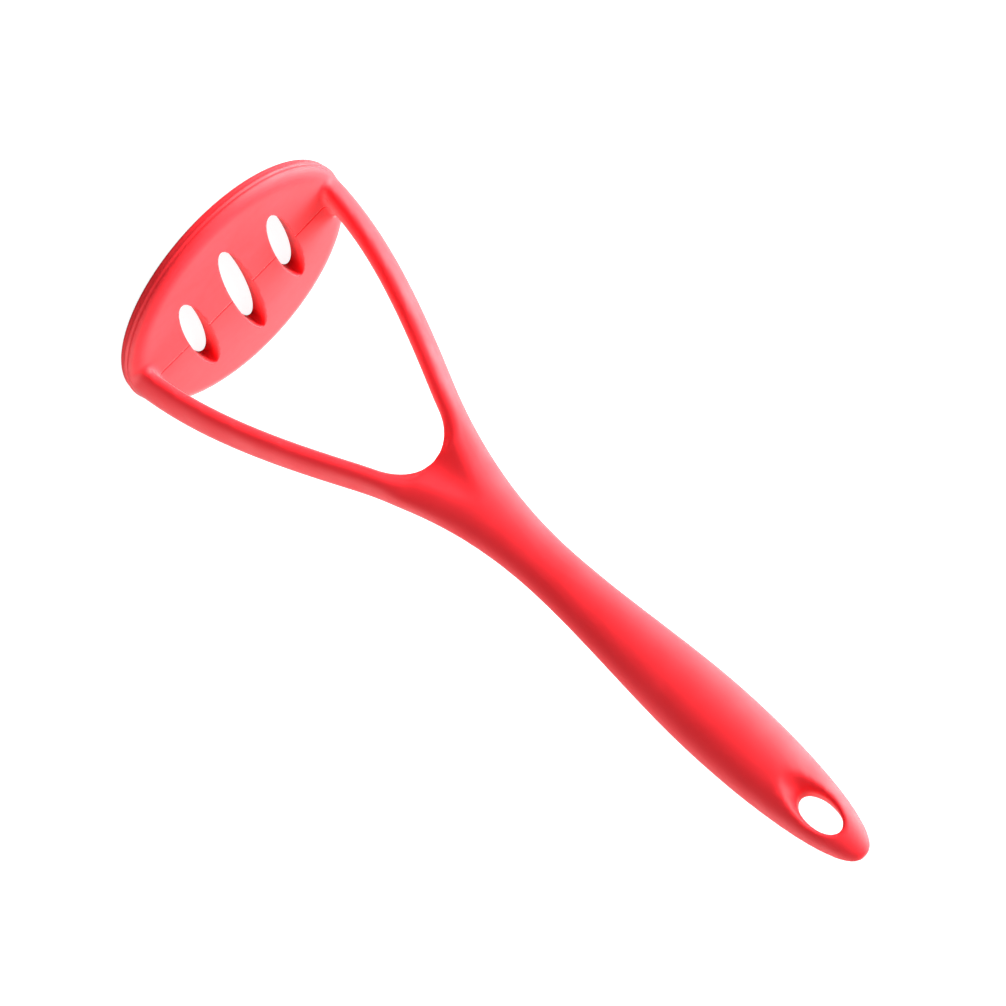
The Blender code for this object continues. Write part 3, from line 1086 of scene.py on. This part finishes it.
@dataclass(frozen=True)
class SiliconeSkin:
    """The soft outer moulding: plate, fork and handle in one, hollow for the frame."""

    plate: Plate = field(default_factory=Plate)
    stem: Stem = field(default_factory=Stem)
    hang_hole: HangHole = field(default_factory=HangHole)
    slots: tuple[Slot, ...] = (
        Slot("left_slot", -0.0191, 0.0083, 0.0560),
        Slot("middle_slot", 0.0, 0.0086, 0.0720),
        Slot("right_slot", 0.0191, 0.0083, 0.0560),
    )
    lines: PartingLines = field(default_factory=PartingLines)
    finish: MouldedSilicone = field(default_factory=MouldedSilicone)
    fit_gap: float = 0.0003
    opening_diameter: float = 0.0040
    opening_x: float = 0.0300
    opening_y: float = 0.0220
    opening_depth: float = 4.0 * MM
    opening_points: int = 32
    cell: float = 0.00080
    softening: int = 5
    end_length: float = 0.0360
    tip_length: float = 0.0070
    end_softening: int = 8
    sharp_degrees: float = 62.0

    def form(self, name: str, layer: Layer) -> list[Solid]:
        """Makes the plate without its slots, and the stem with its hanging hole, still two solids.

        Args:
            name: Start of their names.
            layer: The layer of the form.

        Returns:
            The plate and the stem.
        """
        plate = self.plate.build(f"{name}_plate", layer)
        stem = self.stem.build(f"{name}_stem", layer)
        combine(stem, [self.hang_hole.cutter(self.stem, layer)], Cut.REMOVE)
        return [plate, stem]

    def cut_slots(self, item: Solid, layer: Layer) -> None:
        """Cuts the three slots.

        Args:
            item: The solid to cut.
            layer: The layer of the form that it is.
        """
        combine(item, [slot.cutter(self.plate, layer) for slot in self.slots], Cut.REMOVE)

    def moulded(self) -> Solid:
        """Fuses the fine plate and stem into one even, softly rounded surface."""
        plate, stem = self.form("skin", OUTSIDE)
        with bpy.context.temp_override(active_object=plate, selected_editable_objects=[plate, stem]):
            bpy.ops.object.join()
        fuse = plate.modifiers.new("fuse", "REMESH")
        fuse.mode = "VOXEL"
        fuse.voxel_size = self.cell
        add_softening(plate, self.softening)
        apply_modifiers(plate)
        end = plate.vertex_groups.new(name="end")
        heights = self.stem.overall_height - vertex_places(plate.data)[:, 2]
        near_hole = (heights < self.end_length) & (heights > self.tip_length)
        end.add(np.nonzero(near_hole)[0].tolist(), 1.0, "REPLACE")
        add_softening(plate, self.end_softening, end.name)
        apply_modifiers(plate)
        return plate

    def hollow(self, skin: Solid) -> None:
        """Cuts the frame's space and the openings that the mould's pins leave below it.

        Args:
            skin: The skin, whose mesh is changed.
        """
        space, stem_space = self.form("space", SPACE)
        combine(space, [stem_space], Cut.JOIN)
        self.cut_slots(space, SPACE)
        radius = self.opening_diameter / 2
        heights = (-self.opening_depth, SPACE.inset + self.fit_gap / 2)
        pins = []
        for x in (-self.opening_x, self.opening_x):
            for y in (-self.opening_y, self.opening_y):
                rings = [oval(Vector((x, y, z)), radius, radius, self.opening_points) for z in heights]
                pins.append(loft("cut_pin_opening", rings))
        combine(space, pins, Cut.JOIN)
        combine(skin, [space], Cut.REMOVE)

    def build(self) -> None:
        """Makes the whole skin and dresses it."""
        skin = self.moulded()
        self.lines.draw(skin)
        self.cut_slots(skin, OUTSIDE)
        self.hollow(skin)
        skin.name = "moulded_skin"
        skin.data.name = skin.name
        skin.data.polygons.foreach_set("use_smooth", [True] * len(skin.data.polygons))
        skin.data.set_sharp_from_angle(angle=math.radians(self.sharp_degrees))
        skin.data.materials.clear()
        skin.data.materials.append(self.finish.make())
        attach(skin, "root")
        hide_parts("silicone_skin")
        skin.data.calc_loop_triangles()
        LOG.info("silicone skin: %d triangles", len(skin.data.loop_triangles))


@dataclass(frozen=True)
class NylonFrame:
    """The stiff inner frame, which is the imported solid; it shows only through the pin openings."""

    finish: GlassFilledNylon = field(default_factory=GlassFilledNylon)
    node: str = "nylon_frame"

    def dress(self) -> None:
        """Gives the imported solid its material."""
        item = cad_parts[self.node]
        item.data.materials.clear()
        item.data.materials.append(self.finish.make())
        LOG.info("nylon frame: dressed %s", self.node)


# ---- studio


def direction(azimuth: float, elevation: float) -> Vector:
    """Gives the unit vector towards a place round the object.

    Args:
        azimuth: Degrees round from the front, towards +X.
        elevation: Degrees above the horizon.

    Returns:
        The direction from the object to that place.
    """
    a, e = math.radians(azimuth), math.radians(elevation)
    return Vector((math.sin(a) * math.cos(e), -math.cos(a) * math.cos(e), math.sin(e)))


@dataclass(frozen=True)
class SoftBox:
    """A rectangular studio light that faces the object."""

    name: str
    azimuth: float
    elevation: float
    distance: float
    width: float
    height: float
    brightness: float

    def place(self, aim: Vector) -> None:
        """Sets the light up.

        Args:
            aim: The point it faces.
        """
        data = bpy.data.lights.new(self.name, "AREA")
        data.shape = "RECTANGLE"
        data.size = self.width
        data.size_y = self.height
        data.energy = self.brightness * math.pi * self.width * self.height
        light = bpy.data.objects.new(self.name, data)
        towards = direction(self.azimuth, self.elevation)
        light.location = aim + towards * self.distance
        light.rotation_mode = "QUATERNION"
        light.rotation_quaternion = towards.to_track_quat("Z", "Y")
        bpy.context.scene.collection.objects.link(light)


@dataclass(frozen=True)
class Studio:
    """Plain white floor, soft light and the camera."""

    aim: Vector = field(default_factory=lambda: Vector((-0.0054, 0.0, 0.1140)))
    azimuth: float = 6.13
    elevation: float = 16.87
    roll: float = 132.2
    distance: float = 1.7675
    lens: float = 209.0
    sensor_width: float = 36.0
    sight: tuple[float, float] = (0.05, 50.0)
    floor_size: float = 12.0
    floor_gap: float = 0.2 * MM
    ambient: float = 0.68
    paper: StudioPaper = field(default_factory=StudioPaper)
    lights: tuple[SoftBox, ...] = (
        SoftBox("key_softbox", -78.0, 22.0, 1.2, 1.2, 1.2, 9.8),
        SoftBox("rear_left_softbox", -115.0, 25.0, 1.3, 1.2, 1.2, 7.0),
        SoftBox("low_left_softbox", -100.0, 2.0, 1.2, 1.2, 0.8, 9.0),
        SoftBox("front_left_softbox", -55.0, 12.0, 1.3, 0.8, 1.2, 4.2),
        SoftBox("edge_softbox", 124.0, 8.0, 1.4, 0.6, 1.0, 8.6),
    )

    def lay_floor(self) -> None:
        """Lays the floor just under the object."""
        half = self.floor_size / 2
        mesh = bmesh.new()
        corners = ((-half, -half), (half, -half), (half, half), (-half, half))
        mesh.faces.new([mesh.verts.new((x, y, -self.floor_gap)) for x, y in corners])
        floor = solid_from("studio_floor", mesh)
        floor.data.materials.append(self.paper.make())

    def light(self) -> None:
        """Sets the surroundings' even light and the soft boxes."""
        world = bpy.data.worlds.new("studio_surroundings")
        world.use_nodes = True
        tree = world.node_tree
        tree.nodes.clear()
        white = linear_colour("#FFFFFF")
        dim = add_node(tree, "ShaderNodeBackground", {"Color": white, "Strength": self.ambient})
        seen = add_node(tree, "ShaderNodeBackground", {"Color": white, "Strength": 1.0})
        path = add_node(tree, "ShaderNodeLightPath")
        choose = add_node(tree, "ShaderNodeMixShader", links={"Fac": path.outputs["Is Camera Ray"]})
        tree.links.new(dim.outputs["Background"], choose.inputs[1])
        tree.links.new(seen.outputs["Background"], choose.inputs[2])
        add_node(tree, "ShaderNodeOutputWorld", links={"Surface": choose.outputs["Shader"]})
        bpy.context.scene.world = world
        for box in self.lights:
            box.place(self.aim)

    def set_camera(self) -> None:
        """Sets the camera, rolled so that the handle points down to the right."""
        data = bpy.data.cameras.new("camera")
        data.lens = self.lens
        data.sensor_width = self.sensor_width
        data.clip_start, data.clip_end = self.sight
        camera = bpy.data.objects.new("camera", data)
        back = direction(self.azimuth, self.elevation)
        a, turn = math.radians(self.azimuth), math.radians(self.roll)
        level = Vector((math.cos(a), math.sin(a), 0.0))
        upright = back.cross(level)
        right = level * math.cos(turn) + upright * math.sin(turn)
        up = upright * math.cos(turn) - level * math.sin(turn)
        axes = Matrix((right, up, back)).transposed()
        camera.matrix_world = Matrix.Translation(self.aim + back * self.distance) @ axes.to_4x4()
        bpy.context.scene.collection.objects.link(camera)
        bpy.context.scene.camera = camera

    def build(self) -> None:
        """Sets up the floor, the light and the camera."""
        self.lay_floor()
        self.light()
        self.set_camera()
        bpy.context.scene.view_settings.view_transform = "Standard"
        LOG.info("studio: %d soft boxes", len(self.lights))


def main() -> None:
    """Builds the masher's pieces and the studio round it."""
    logging.basicConfig(level=logging.INFO, format="%(name)s: %(message)s")
    NylonFrame().dress()
    SiliconeSkin().build()
    Studio().build()


if __name__ == "__main__":
    main()
